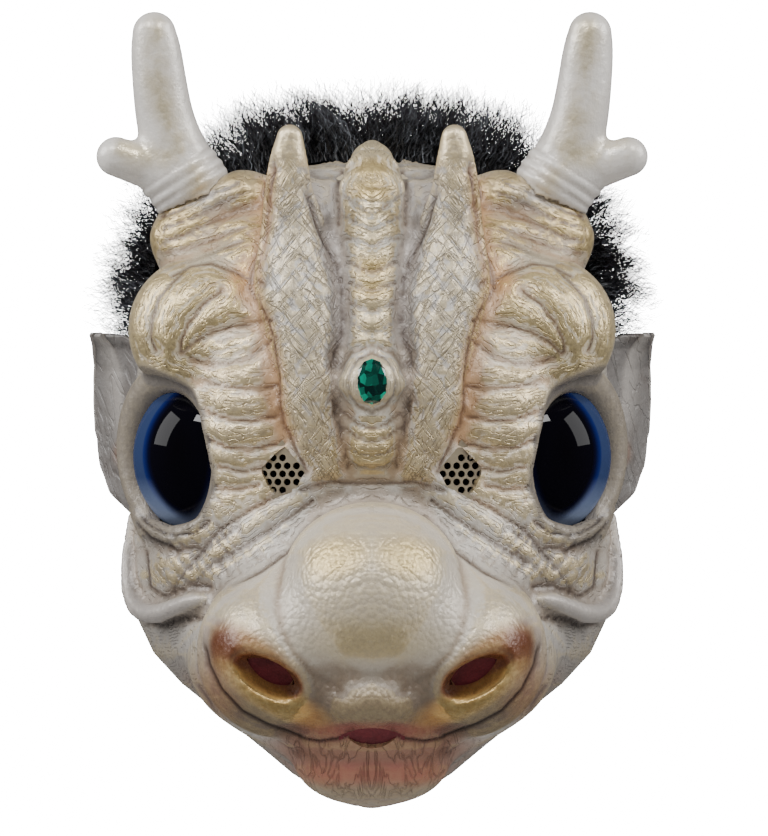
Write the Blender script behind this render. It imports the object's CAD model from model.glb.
"""Dragon mask, dressed: fine latex with its creases and paint, domed eyes, faceted stone, antlers and fur.

The face is worked out in millimetres as it is on the frame: x to the wearer's left, y to the back and h up
from the chin. Pieces are in metres, with the origin at the inside of the crown.
"""

import math

import bmesh
import bpy
import numpy as np
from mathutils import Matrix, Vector


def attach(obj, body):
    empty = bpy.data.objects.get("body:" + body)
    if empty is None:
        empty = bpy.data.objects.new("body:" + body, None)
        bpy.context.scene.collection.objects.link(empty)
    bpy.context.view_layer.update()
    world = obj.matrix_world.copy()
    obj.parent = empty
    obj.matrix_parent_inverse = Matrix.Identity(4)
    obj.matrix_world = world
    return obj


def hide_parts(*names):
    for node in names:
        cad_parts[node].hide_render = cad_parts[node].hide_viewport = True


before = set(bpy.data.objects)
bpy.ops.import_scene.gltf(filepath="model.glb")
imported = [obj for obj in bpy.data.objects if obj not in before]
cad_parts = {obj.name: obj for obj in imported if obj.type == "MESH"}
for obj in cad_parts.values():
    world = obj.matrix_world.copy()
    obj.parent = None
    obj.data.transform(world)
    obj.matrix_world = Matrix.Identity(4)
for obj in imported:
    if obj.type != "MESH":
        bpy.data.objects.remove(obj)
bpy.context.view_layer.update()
scene = bpy.context.scene

MM = 0.001
CROWN = 270.0
FACE_ROOM = ((-126, 126), (-186, 64), (-8, 292))
FACE_STEP = 2.9
FACE_BACK = 60
LINING_STEP = 4.5
LINING_GAP = 0.7
WALL = 2.6
DEEPEST_FOLD = 3.8
BACK_EDGE = ((-12.0, 275.0), (25.0, 120.0))
NECK_EDGE = ((-66.0, -4.0), (70.0, 42.0))


def table(columns, *rows):
    """Rows of numbers under named columns."""
    return np.array(list(rows), dtype=[(name, float) for name in columns.split()])


HEAD = table(
    "height half_width front back",
    (0, 10, -74, 20),
    (5, 23, -84, 45),
    (12, 34, -92, 60),
    (22, 46, -97, 70),
    (34, 61, -100, 78),
    (50, 81, -103, 86),
    (63, 93, -105, 91),
    (80, 101, -107, 96),
    (96, 104, -108, 99),
    (116, 103, -108, 102),
    (155, 102, -108, 104),
    (194, 99, -104, 102),
    (218, 92, -97, 95),
    (233, 87, -90, 88),
    (245, 79, -82, 79),
    (255, 66, -71, 66),
    (263, 49, -56, 51),
    (269, 28, -38, 32),
    (273, 4, -14, 10),
)
MASSES = table(
    "x y h rx ry rh turn blend",
    (68, -53, 199, 35, 31, 33, 18, 8),  # brow bulge over the eye
    (53, -73, 163, 21, 26, 34, 0, 8),  # ribbed brow beside the eye
    (74, -30, 240, 17.5, 20, 22, 0, 10),  # mound under the antler
    (0, -88, 74, 62, 46, 46, 0, 16),  # trunk of the muzzle
    (0, -118, 88, 40.5, 50, 40, 0, 9),  # dome of the nose
    (40, -110, 64, 33, 45, 35, -18, 12),  # wing of the nose
    (0, -114, 46, 28, 42, 18, 0, 10),  # upper lip
    (0, -106, 31, 36, 34, 14, 0, 8),  # between the lips
    (0, -90, 18, 32, 40, 18, 0, 7),  # lower lip and chin
    (0, -72, 38, 50, 36, 24, 0, 9),  # jaw
    (46, -72, 60, 30, 30, 28, 0, 14),  # cheek
)
HORN = table(
    "x y h r",
    (34.5, -88, 280.5, 5.4),
    (35.2, -87, 269, 8.4),
    (35, -86, 255, 10.4),
    (32, -83, 236, 15.2),
    (31.5, -87, 217, 19.0),
    (29, -94, 200, 17.0),
    (28, -100, 184, 14.0),
    (26, -102.5, 165, 12.6),
    (19, -103, 143, 9.0),
)
CENTRE_RIDGE = table(
    "x y h r",
    (0, -40, 271, 4),
    (0, -50, 276.5, 4),
    (0, -57, 268, 11),
    (0, -70, 254, 15),
    (0, -84, 232, 14.2),
    (0, -94, 212, 11.5),
    (0, -100, 195, 11.5),
    (0, -103, 150, 12),
)
CHEEK_ROLL = table(
    "x y h r",
    (102, -14, 120, 1.6),
    (104, -20, 108, 2.0),
    (104.4, -24, 98, 2.3),
    (103.6, -30, 88, 2.7),
    (99, -40, 80.5, 3.5),
    (91, -53.5, 79.8, 3.9),
    (83, -65, 83, 3.8),
    (76, -73, 86, 3.6),
    (68, -80, 86.5, 2.8),
)
EYE_BAG = table(
    "x y h r",
    (99, -22, 124, 3.6),
    (95, -40, 116.5, 4.6),
    (85, -60, 112.5, 4.8),
    (74, -73, 115, 4.0),
)
BOSS = {"x": 0, "y": -107, "h": 178, "rx": 14.6, "ry": 12.5, "rh": 13.0}
BOSS_DISH = {"x": 0, "y": -121.5, "h": 178, "rx": 9.6, "ry": 3.6, "rh": 12.0}
EYE_RIM = np.array((82.0, -51.0, 146.5))
EYE_TURN = math.radians(56)
EYE_FACING = np.array((math.sin(EYE_TURN), -math.cos(EYE_TURN), 0.0))
EYE_RADIUS = 36.0
EYE_RIM_HALF = 29.6
EYE_DEPTH = math.sqrt(EYE_RADIUS**2 - EYE_RIM_HALF**2)
EYE_CENTRE = EYE_RIM - EYE_FACING * EYE_DEPTH
EYE_TUCK = 5.0
EYE_OPENING_HALF = 28.6
SOCKET_HALF = 34.0
SOCKET_FRONT = 30.0
LID_HALF = 33.5
LID_THICK = 5.4
LID_THICKER_UP = 0.35
LID_THINNER_IN = 0.25
NOSTRIL = {"x": 43.5, "y": -152, "h": 54.5, "rx": 17.0, "ry": 13.0, "rh": 7.6, "turn": 29}
NOSTRIL_PATCH = {"x": 42.3, "h": 57.3, "rx": 11.4, "rh": 4.0, "turn": 29}
MOUTH_PATCH = {"x": 0.0, "h": 29.6, "rx": 11.6, "rh": 4.3, "turn": 0}
FAR_OUTSIDE = -9.0
EYE_RIM_REACH = 3.5
MUZZLE_FRONT = -90
VENT_FRONT = -60
VENT_CORNERS = ((37.4, 151.5), (28.8, 140.4), (31.6, 133.8), (41.6, 130.2), (47.2, 141.0))
ANTLER_TINE = table(
    "x y h r",
    (70, -26, 246, 16.5),
    (76, -30, 259, 16.5),
    (83, -32, 274, 13.8),
    (87.5, -33, 288, 12.4),
    (89.8, -34, 303, 11.6),
    (91.4, -35, 318, 10.8),
    (92.2, -36, 325.5, 9.2),
)
ANTLER_BROW_TINE = table(
    "x y h r",
    (82, -32, 264, 12.5),
    (94, -34, 268.5, 9.0),
    (103, -36, 271.5, 8.6),
    (108.3, -37, 273.4, 8.4),
)
ANTLER_FOOT = table(
    "x y h r",
    (77, -29, 240, 17.0),
    (72.5, -28, 252, 17.4),
    (61, -34, 257, 13.6),
    (48, -42, 255, 11.0),
)
ANTLER_ROOM = ((50, 124), (-56, -8), (226, 338))
ANTLER_STEP = 2.0
ANTLER_SEAT = 0.9
COLLAR_FOLDS = (1.6, 5.6, 10.6)
GILT_COURSES = (
    ((91.5, 328), (91, 306), (87, 291), (80, 272), (71, 256)),
    ((83, 274), (96, 274), (105, 276)),
)
EAR = table(
    "inner_x inner_y inner_h outer_x outer_y outer_h cup",
    (97, 2, 121, 101.5, 9, 121.5, 0),
    (96, -2, 129, 111.5, 20, 131, 2),
    (95, -6, 141, 115.6, 28, 142, 5),
    (94, -8, 156, 118.2, 32, 157, 8),
    (94, -9, 170, 118.6, 32, 171, 9),
    (94, -8, 182, 118.2, 28, 185, 8),
    (96, -4, 192, 118.8, 20, 194, 5),
    (106, 4, 198, 119.4, 13, 198.6, 1),
)

# Folds: the width and depth of each groove, then its course over the face as points of x and h
FOLDS = (
    # brow bulge
    ((3.2, 2.8), (47, 219), (53.3, 222.5), (58.8, 225.8), (67.6, 229.6), (76.4, 228.8), (84.8, 224.2)),
    ((2.6, 2.6), (77.7, 227.9), (84.8, 220.8), (90.7, 214.1), (94.1, 204.8), (94.5, 196.4), (92.4, 190.6)),
    ((2.4, 2.4), (63, 217.4), (71.4, 210.7), (77.3, 203.2), (80.6, 195.6), (81.5, 189.7)),
    ((2.4, 2.6), (44, 203.6), (48.7, 203.2), (58.8, 201.5), (68, 198.5), (75.6, 193.9), (80.6, 188.9)),
    # ribs of the brow
    ((2.2, 2.6), (42, 196.5), (44.5, 194.8), (51.7, 188.9), (61.3, 186.4), (70.1, 185.5), (76.9, 187.2)),
    ((2.2, 2.6), (40.6, 176.8), (46, 175.4), (52.9, 175.6), (63, 176.7), (71.8, 178.4)),
    ((2.2, 2.6), (39.5, 164), (50.4, 161.4), (60.5, 162), (70.6, 165.4)),
    ((2.0, 2.4), (38, 152.5), (50.8, 149.2), (61.3, 149.8), (69.7, 153.6)),
    ((1.8, 2.0), (45.4, 141.8), (55, 139.7), (65.1, 141.8)),
    ((1.6, 1.8), (47.9, 134.7), (56.7, 132.6), (65.9, 133.4)),
    ((1.2, 0.9), (44, 170), (52, 168.4), (62, 169.5)),
    ((1.2, 0.9), (43, 157), (53, 155.2), (64, 157)),
    ((1.2, 0.9), (46, 181), (56, 181.4), (67, 182)),
    # rings under the antler
    ((2.4, 1.7), (89.9, 248.5), (82.3, 251), (72.2, 256.1), (57.1, 262.4)),
    ((1.8, 1.4), (89, 243.5), (80.6, 246), (69.7, 250.2), (57.1, 256.9), (48, 260.3)),
    ((1.8, 1.3), (88.6, 237.6), (79.8, 240.1), (68.9, 245.2), (56.3, 251), (48, 252.7)),
    ((1.6, 1.2), (89, 232.1), (79, 234.2), (67.2, 238.4), (55.4, 243.5), (49, 245.2)),
    ((1.6, 1.2), (87.8, 226.7), (78.1, 230), (66.4, 233.4), (55.4, 237.6), (50, 238.4)),
    # edges of the horn and its ridge
    ((3.4, 3.0), (42.5, 270), (43.7, 264.5), (45.8, 252.3), (47.6, 237.6), (51.4, 225.8), (52.6, 218.3)),
    ((2.8, 2.6), (52.6, 218.3), (49.8, 212.4), (45.4, 203.2), (42.4, 193.5), (41.0, 182.2), (40.5, 171.2)),
    ((2.4, 2.0), (40.5, 171.2), (38.4, 160.3), (33.6, 150.2), (28.6, 140.2)),
    ((3.2, 3.2), (24.4, 256.1), (22.0, 247.7), (18.1, 238.4), (14.9, 229.2)),
    ((2.4, 2.6), (14.9, 229.2), (12.8, 217.4), (12.2, 206.5), (13.4, 195.6), (15.2, 184.7)),
    ((2.2, 2.0), (15.4, 170.7), (13, 158.6), (11.3, 146.9), (9.7, 141)),
    ((2.8, 2.0), (11.8, 271.2), (14.5, 263.6), (15.4, 254.4), (15.0, 244.3)),
    # rings of the centre ridge
    ((2.4, 1.6), (13.8, 257.1), (6.7, 252.4), (0, 249.0)),
    ((2.2, 1.5), (13.0, 247.8), (5.9, 244.8), (0, 242.2)),
    ((2.2, 1.5), (12.6, 238.6), (5.9, 237.6), (0, 235.1)),
    ((2.2, 1.7), (11.3, 228.8), (5.9, 226), (0, 224.2)),
    ((2.2, 1.7), (10.5, 219.8), (5, 217.6), (0, 216.6)),
    ((2.0, 1.6), (10.1, 211.3), (5, 208.8), (0, 207.8)),
    ((2.0, 1.4), (10.1, 203.4), (5, 200), (0, 198.7)),
    # rings round the boss
    ((1.6, 1.5), (14.3, 184.7), (9.2, 190.6), (0, 193.1)),
    ((1.8, 1.8), (15.1, 170.4), (12.6, 165.4), (6.7, 160.3), (0, 158.6)),
    ((1.6, 1.6), (13.4, 160.3), (6.7, 154.4), (0, 152.8)),
    ((1.6, 1.5), (13, 152.8), (6.7, 147.7), (0, 146.5)),
    ((1.4, 1.3), (12.2, 146), (5.9, 141.8), (0, 141)),
    ((1.5, 1.5), (0, 190.5), (6, 188.3), (9.8, 183.5), (10.8, 177.5), (9.8, 171.5), (6, 167), (0, 165)),
    # over the nose
    (
        (3.4, 3.4), (64.3, 90.2), (56.3, 96.1), (47, 101.5), (37, 108.7), (31.1, 116.6), (22.7, 123.4),
        (11.8, 127.1), (0, 128.4),
    ),
    ((1.8, 1.6), (30.2, 132.6), (17.6, 135.1), (0, 136)),
    ((2.0, 2.0), (65.5, 102.4), (51.2, 111.6), (38.6, 119.2), (25.2, 128.4)),
    ((2.4, 2.4), (76.4, 102.8), (64.7, 116.2), (50, 125.5), (36.5, 132.2)),
    ((2.0, 1.8), (87.8, 87.2), (79.8, 98.2), (70.1, 108.2), (58.8, 116.6)),
    ((1.6, 1.4), (82.3, 86.4), (72.2, 97.3), (61.3, 107.4)),
    # outline of the nose's wing, the dome's side and the lips
    (
        (3.4, 3.4), (64, 91), (68.4, 86), (71.6, 79.7), (72.6, 70.4), (70.4, 59.5), (65, 48.6), (55.6, 38.6),
        (44.5, 32.6), (31.9, 28.2),
    ),
    ((4.6, 3.2), (37.6, 106), (39.6, 99), (40.3, 88.1), (37.8, 75.9), (31.9, 65), (23.5, 55.7), (15, 50)),
    ((2.4, 2.6), (31.9, 28.2), (22.7, 26.9), (14.3, 28.4), (9.4, 30.8)),
    ((2.4, 1.6), (74, 50), (69.7, 44.4), (63.8, 34.3), (56.3, 27.9), (45, 22)),
    # under the eye, and the fan of the cheek
    ((1.8, 2.0), (100.8, 124.6), (93.2, 117.5), (84, 113.3), (75.6, 114.1), (69.7, 119.2)),
    ((2.2, 2.2), (102.5, 120), (94.9, 111.6), (84, 106.6), (73.9, 108.2)),
    ((1.2, 0.9), (97, 96.9), (93.2, 90.6), (89, 86.4)),
    ((1.2, 0.9), (91.6, 100.7), (87.4, 94), (82.3, 87.2)),
    ((1.2, 0.9), (85.7, 103.2), (81.5, 96.5), (75.6, 89.8)),
    # both sides of the cheek roll
    ((3.6, 3.4), (106, 92), (103, 84), (98, 74.6), (90, 74), (82, 77), (74, 79.6), (70, 80)),
    ((3.0, 3.0), (97.5, 106), (97, 100), (96, 91), (90, 87.4), (83, 90.2), (76, 92.4), (70, 92)),
    # forehead beside the centre ridge
    ((2.0, 1.1), (30.2, 267.8), (21, 264.5), (13.4, 266.2)),
    ((2.0, 1.1), (20.2, 254.4), (17.6, 245.2), (13.4, 235.9)),
)


# Forms: distances in millimetres, below 0 inside

def smooth_union(a, b, blend):
    """The nearer of two distances, rounded where they meet."""
    mix = np.clip(0.5 + 0.5 * (b - a) / blend, 0, 1)
    return b + (a - b) * mix - blend * mix * (1 - mix)


def smooth_cut(a, b, blend):
    """The first form without the second, rounded where they meet."""
    return -smooth_union(-a, b, blend)


def turned(x, h, centre, degrees):
    """x and h measured from a centre along axes that lean by some degrees."""
    cos, sin = math.cos(math.radians(degrees)), math.sin(math.radians(degrees))
    dx, dh = x - centre[0], h - centre[1]
    return dx * cos + dh * sin, -dx * sin + dh * cos


def ellipsoid(x, y, h, row, turn=0.0):
    """Near enough the distance to an ellipsoid that leans by some degrees."""
    across, up = turned(x, h, (row["x"], row["h"]), turn)
    deep = y - row["y"]
    rx, ry, rh = row["rx"], row["ry"], row["rh"]
    ratio = np.sqrt((across / rx) ** 2 + (deep / ry) ** 2 + (up / rh) ** 2)
    slope = np.sqrt((across / rx ** 2) ** 2 + (deep / ry ** 2) ** 2 + (up / rh ** 2) ** 2)
    return ratio * (ratio - 1) / np.maximum(slope, 1e-6)


def chain(x, y, h, rows):
    """Distance to a row of spheres joined by cones."""
    best = np.full(x.shape, 1e3)
    for first, last in zip(rows[:-1], rows[1:]):
        run = np.array([last[k] - first[k] for k in ("x", "y", "h")])
        along = (x - first["x"]) * run[0] + (y - first["y"]) * run[1] + (h - first["h"]) * run[2]
        t = np.clip(along / run.dot(run), 0, 1)
        apart = (x - first["x"] - t * run[0]) ** 2 + (y - first["y"] - t * run[1]) ** 2
        apart = np.sqrt(apart + (h - first["h"] - t * run[2]) ** 2)
        best = np.minimum(best, apart - first["r"] - t * (last["r"] - first["r"]))
    return best


def rounded(rows, times=2):
    """A row of spheres with its corners cut, both in its course and in its thickness."""
    for _ in range(times):
        made = [rows[0]]
        for first, last in zip(rows[:-1], rows[1:]):
            for share in (0.25, 0.75):
                made.append(tuple(first[k] * (1 - share) + last[k] * share for k in rows.dtype.names))
        rows = np.array([tuple(row) for row in made] + [tuple(rows[-1])], dtype=rows.dtype)
    return rows


HORN, CENTRE_RIDGE, CHEEK_ROLL = rounded(HORN), rounded(CENTRE_RIDGE, 1), rounded(CHEEK_ROLL, 1)
ANTLER_TINE, ANTLER_BROW_TINE = rounded(ANTLER_TINE), rounded(ANTLER_BROW_TINE)
CHAINS = ((HORN, 4.5), (CENTRE_RIDGE, 4.0), (CHEEK_ROLL, 2.8), (EYE_BAG, 3.5))


def up_antler(x, h):
    """How far a place lies up along the antler from the edge of its collar."""
    return (x - 74) * 0.53 + (h - 258.6) * 0.85


def plain_head(x, y, h):
    """Distance to the closed head form, from its sections."""
    at = np.clip(h, HEAD["height"][0], HEAD["height"][-1])
    half_width = np.interp(at, HEAD["height"], HEAD["half_width"])
    front = np.interp(at, HEAD["height"], HEAD["front"])
    back = np.interp(at, HEAD["height"], HEAD["back"])
    half_depth = (back - front) / 2
    ratio = np.sqrt((x / half_width) ** 2 + ((y - (front + back) / 2) / half_depth) ** 2)
    flat = (ratio - 1) * np.minimum(half_width, half_depth)
    beyond = np.abs(h - at)
    return np.where(beyond > 0, np.hypot(np.maximum(flat, 0), beyond), flat * 0.8)


def in_eye_axes(x, y, h):
    """Distance from the eye's axis, along it from the rim outwards, towards the nose and up."""
    dx, dy, dh = x - EYE_RIM[0], y - EYE_RIM[1], h - EYE_RIM[2]
    out = dx * EYE_FACING[0] + dy * EYE_FACING[1]
    side = dx * EYE_FACING[1] - dy * EYE_FACING[0]
    return np.hypot(side, dh), out, side, dh


def sculpt(x, y, h):
    """Distance to the closed form of the whole head with its features. Both halves are alike."""
    x = np.abs(x)
    form = plain_head(x, y, h)
    for mass in MASSES:
        form = smooth_union(form, ellipsoid(x, y, h, mass, mass["turn"]), mass["blend"])
    foot = smooth_cut(chain(x, y, h, ANTLER_FOOT), -up_antler(x, h), 7.0)
    form = smooth_union(form, foot, 4.0)
    away, out, side, up = in_eye_axes(x, y, h)
    deep = np.abs(out - SOCKET_FRONT / 2) - SOCKET_FRONT / 2
    dish = np.minimum(np.maximum(away - SOCKET_HALF, deep), 0)
    dish = dish + np.hypot(np.maximum(away - SOCKET_HALF, 0), np.maximum(deep, 0))
    form = smooth_cut(form, dish, 5.0)
    thickness = LID_THICK * (1 + (LID_THICKER_UP * up - LID_THINNER_IN * side) / EYE_RIM_HALF)
    form = smooth_union(form, np.hypot(away - LID_HALF, out - 0.5) - thickness, 2.5)
    for rows, blend in CHAINS:
        form = smooth_union(form, chain(x, y, h, rows), blend)
    form = smooth_union(form, ellipsoid(x, y, h, BOSS), 3.0)
    form = smooth_cut(form, ellipsoid(x, y, h, BOSS_DISH), 2.5)
    return smooth_cut(form, ellipsoid(x, y, h, NOSTRIL, NOSTRIL["turn"]), 4.0)


def antler_form(x, y, h):
    """Distance to the left antler with the ring folds of its collar, clear of the head."""
    stem = chain(x, y, h, ANTLER_TINE)
    form = smooth_union(stem, chain(x, y, h, ANTLER_BROW_TINE), 6.0)
    along = up_antler(x, h)
    for fold in COLLAR_FOLDS:
        form = form - 0.9 * np.exp(-(((along - fold) / 1.6) ** 2))
    return form


def to_course(x, h, course):
    """Distance to a course of points of x and h."""
    nearest = np.full(x.shape, 1e3)
    for (x0, h0), (x1, h1) in zip(course[:-1], course[1:]):
        run = (x1 - x0, h1 - h0)
        t = np.clip(((x - x0) * run[0] + (h - h0) * run[1]) / (run[0] ** 2 + run[1] ** 2), 0, 1)
        nearest = np.minimum(nearest, np.hypot(x - x0 - t * run[0], h - h0 - t * run[1]))
    return nearest


def normals_of(form, points, reach=0.4):
    """Outward directions of a distance field."""
    out = np.empty(points.shape)
    for axis in range(3):
        step = np.zeros(3)
        step[axis] = reach
        out[:, axis] = form(*(points + step).T) - form(*(points - step).T)
    return out / np.maximum(np.linalg.norm(out, axis=1, keepdims=True), 1e-9)


def skinned(form, room, step):
    """Points and quads of the surface where a distance field is zero, one point to each grid cell."""
    axes = [np.arange(low, high + step, step) for low, high in room]
    value = form(*np.meshgrid(*axes, indexing="ij"))
    inside = value < 0
    cells = tuple(n - 1 for n in inside.shape)
    total, count = np.zeros(cells + (3,)), np.zeros(cells)
    corners = np.indices((2, 2, 2)).reshape(3, -1).T
    for corner in corners:
        for axis in range(3):
            if corner[axis]:
                continue
            end = corner.copy()
            end[axis] = 1
            a = value[tuple(slice(corner[k], corner[k] + cells[k]) for k in range(3))]
            b = value[tuple(slice(end[k], end[k] + cells[k]) for k in range(3))]
            crossed = (a < 0) != (b < 0)
            t = np.where(crossed, a / np.where(crossed, a - b, 1), 0)
            for k in range(3):
                share = corner[k] + (t if k == axis else 0)
                total[..., k] += np.where(crossed, share, 0)
            count += crossed
    used = count > 0
    index = np.full(cells, -1)
    index[used] = np.arange(used.sum())
    place = np.argwhere(used) + total[used] / count[used][:, None]
    points = np.array([a[0] for a in axes]) + place * step
    quads = []
    for axis in range(3):
        b, c = (axis + 1) % 3, (axis + 2) % 3
        low = [slice(1, -1)] * 3
        low[axis] = slice(0, -1)
        high = list(low)
        high[axis] = slice(1, None)
        start, end = inside[tuple(low)], inside[tuple(high)]
        for flip, where in ((False, start & ~end), (True, ~start & end)):
            spots = np.argwhere(where) + np.array([0 if k == axis else 1 for k in range(3)])
            ring = []
            for db, dc in ((1, 1), (0, 1), (0, 0), (1, 0)):
                back = np.zeros(3, int)
                back[b], back[c] = db, dc
                ring.append(index[tuple((spots - back).T)])
            quads.append(np.stack(ring[::-1] if flip else ring, axis=1))
    return points, np.concatenate(quads)


def settle_on(form, points, times=3, most=2.0):
    """Points moved onto the surface of a form."""
    for _ in range(times):
        points = points - normals_of(form, points) * np.clip(form(*points.T), -most, most)[:, None]
    return points


def edges_of(quads):
    """The four edges of each quad, each with its lower point first."""
    return np.sort(np.stack([quads, np.roll(quads, -1, axis=1)], axis=2).reshape(-1, 2), axis=1)


def finer(points, quads):
    """Each quad cut into four."""
    unique, where = np.unique(edges_of(quads), axis=0, return_inverse=True)
    where = where.reshape(quads.shape)
    n, m = len(points), len(unique)
    middles = points[unique].mean(axis=1)
    centres = points[quads].mean(axis=1)
    centre = n + m + np.arange(len(quads))
    made = [
        np.stack([quads[:, k], n + where[:, k], centre, n + where[:, k - 1]], axis=1) for k in range(4)
    ]
    return np.concatenate([points, middles, centres]), np.concatenate(made)


def kept(points, quads, keep):
    """The faces that are kept, with the points that they use."""
    quads = quads[keep]
    used = np.unique(quads)
    index = np.full(len(points), -1)
    index[used] = np.arange(len(used))
    return points[used], index[quads]


def behind(points, edge):
    """How far points lie behind or below a slanting plane through two points of y and h."""
    (y0, h0), (y1, h1) = edge
    run = np.array((y1 - y0, h1 - h0)) / math.hypot(y1 - y0, h1 - h0)
    return (points[:, 1] - y0) * -run[1] + (points[:, 2] - h0) * run[0], np.array((0, -run[1], run[0]))


def trimmed(points, quads, edge, sign):
    """The surface on one side of a slanting plane, its edge moved onto the plane."""
    past, facing = behind(points, edge)
    past, facing = past * sign, facing * sign
    points, quads = kept(points, quads, (past[quads] < 0).any(axis=1))
    past = behind(points, edge)[0] * sign
    points = points - facing * np.maximum(past, 0)[:, None]
    return points, quads


# Pieces

def to_world(points):
    """Millimetres above the chin to metres from the crown."""
    return (np.asarray(points, float) - (0, 0, CROWN)) * MM


def placed(name, mesh, materials, replaces):
    """A mesh as a piece that rides on the part."""
    made = bpy.data.objects.new(name, mesh)
    scene.collection.objects.link(made)
    for one in materials:
        mesh.materials.append(one)
    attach(made, "root")
    if replaces:
        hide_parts(*replaces)
    return made


def add(name, points, faces, materials, replaces=()):
    """A smooth piece from points in millimetres above the chin."""
    mesh = bpy.data.meshes.new(name)
    if isinstance(faces, np.ndarray):
        mesh.vertices.add(len(points))
        mesh.vertices.foreach_set("co", to_world(points).astype(np.float32).ravel())
        mesh.loops.add(faces.size)
        mesh.loops.foreach_set("vertex_index", faces.astype(np.int32).ravel())
        mesh.polygons.add(len(faces))
        mesh.polygons.foreach_set("loop_start", np.arange(0, faces.size, faces.shape[1], dtype=np.int32))
        mesh.update(calc_edges=True)
    else:
        mesh.from_pydata(to_world(points).tolist(), [], faces)
    mesh.validate()
    mesh.shade_smooth()
    return placed(name, mesh, materials, replaces)


def attribute(piece, name, values):
    """A number, or a colour, for each point."""
    values = np.asarray(values, dtype=np.float32)
    if values.ndim == 1:
        made = piece.data.attributes.new(name, "FLOAT", "POINT")
        made.data.foreach_set("value", values)
    else:
        made = piece.data.attributes.new(name, "FLOAT_COLOR", "POINT")
        full = np.ones((len(values), 4), dtype=np.float32)
        full[:, :3] = values
        made.data.foreach_set("color", full.ravel())


def thickened(piece, wall):
    """The rim of an open surface drawn inwards along its normals, as the cut edge of the latex."""
    edit = bmesh.new()
    edit.from_mesh(piece.data)
    rim = [edge for edge in edit.edges if edge.is_boundary]
    normal = {vert: vert.normal.copy() for edge in rim for vert in edge.verts}
    made = bmesh.ops.extrude_edge_only(edit, edges=rim)["geom"]
    edit.normal_update()
    for vert in (part for part in made if isinstance(part, bmesh.types.BMVert)):
        near = min((edge.other_vert(vert) for edge in vert.link_edges), key=lambda v: (v.co - vert.co).length)
        vert.co -= normal.get(near, near.normal) * wall * MM
    for edge in rim:
        edge.smooth = False
    edit.to_mesh(piece.data)
    edit.free()


def walled(piece, wall):
    """A wall of one thickness on both sides of a piece's surface."""
    made = piece.modifiers.new("wall", "SOLIDIFY")
    made.thickness = wall * MM
    made.offset = 0


def repainted(name, made):
    """A node of the frame that shows as it is, with a material of its own."""
    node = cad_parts[name]
    node.data.materials.clear()
    node.data.materials.append(made)


# Materials

def linear(*rgb):
    """A colour given as 0 to 255 on screen, as a shader takes it."""
    values = np.array(rgb, float) / 255
    return tuple(np.where(values <= 0.04045, values / 12.92, ((values + 0.055) / 1.055) ** 2.4))


class Nodes:
    """Short words for wiring a node tree."""

    def __init__(self, tree):
        self.tree = tree

    def new(self, kind, **settings):
        node = self.tree.nodes.new("ShaderNode" + kind)
        for name, value in settings.items():
            setattr(node, name, value)
        return node

    def put(self, value, socket):
        if isinstance(value, bpy.types.NodeSocket):
            self.tree.links.new(value, socket)
        elif isinstance(value, tuple) and socket.type == "RGBA":
            socket.default_value = (*value, 1)
        else:
            socket.default_value = value

    def into(self, node, **values):
        """Values or links for the sockets of a node, and the node."""
        for name, value in values.items():
            self.put(value, node.inputs[name.replace("_", " ")])
        return node

    def attribute(self, name, output="Fac"):
        return self.new("Attribute", attribute_name=name).outputs[output]

    def coordinates(self):
        return self.new("TexCoord").outputs["Object"]

    def noise(self, where, scale, detail=3.0, roughness=0.55, distortion=0.0):
        node = self.into(self.new("TexNoise"), Vector=where, Scale=scale, Detail=detail)
        return self.into(node, Roughness=roughness, Distortion=distortion).outputs["Fac"]

    def cells(self, where, scale, output="Distance"):
        return self.into(self.new("TexVoronoi"), Vector=where, Scale=scale).outputs[output]

    def math(self, operation, a, b=0.0, c=0.0):
        node = self.new("Math", operation=operation)
        for value, socket in zip((a, b, c), node.inputs):
            self.put(value, socket)
        return node.outputs[0]

    def times(self, a, b):
        return self.math("MULTIPLY", a, b)

    def most(self, a, b):
        return self.math("MAXIMUM", a, b)

    def blend(self, a, share, b):
        """Part of one value added to another."""
        return self.math("MULTIPLY_ADD", a, share, b)

    def spread(self, value, low, high, to_low=0.0, to_high=1.0):
        node = self.new("MapRange", interpolation_type="SMOOTHSTEP")
        for given, socket in zip((value, low, high, to_low, to_high), node.inputs):
            self.put(given, socket)
        return node.outputs[0]

    def mix(self, share, a, b, blend="MIX"):
        node = self.new("Mix", data_type="RGBA", blend_type=blend)
        for given, place in ((share, "Factor"), (a, 6), (b, 7)):
            self.put(given, node.inputs[place])
        return node.outputs[2]

    def bump(self, height, distance, strength):
        node = self.into(self.new("Bump"), Height=height, Distance=distance, Strength=strength)
        return node.outputs["Normal"]

    def shared(self, effect, **values):
        """The outputs of a shared effect, placed here with its own values."""
        return self.into(self.new("Group", node_tree=effect), **values).outputs


def material(name, **constants):
    """A Principled material, and short words for its nodes."""
    made = bpy.data.materials.new(name)
    made.use_nodes = True
    n = Nodes(made.node_tree)
    return made, n, n.into(made.node_tree.nodes["Principled BSDF"], **constants)


def effect(name, inputs, outputs):
    """A node group with named sockets, short words for its nodes, and its two ends inside."""
    tree = bpy.data.node_groups.new(name, "ShaderNodeTree")
    for way, sockets in (("INPUT", inputs), ("OUTPUT", outputs)):
        for socket, kind in sockets.items():
            tree.interface.new_socket(name=socket, in_out=way, socket_type="NodeSocket" + kind)
    given = tree.nodes.new("NodeGroupInput").outputs
    return tree, Nodes(tree), given, tree.nodes.new("NodeGroupOutput").inputs


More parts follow.
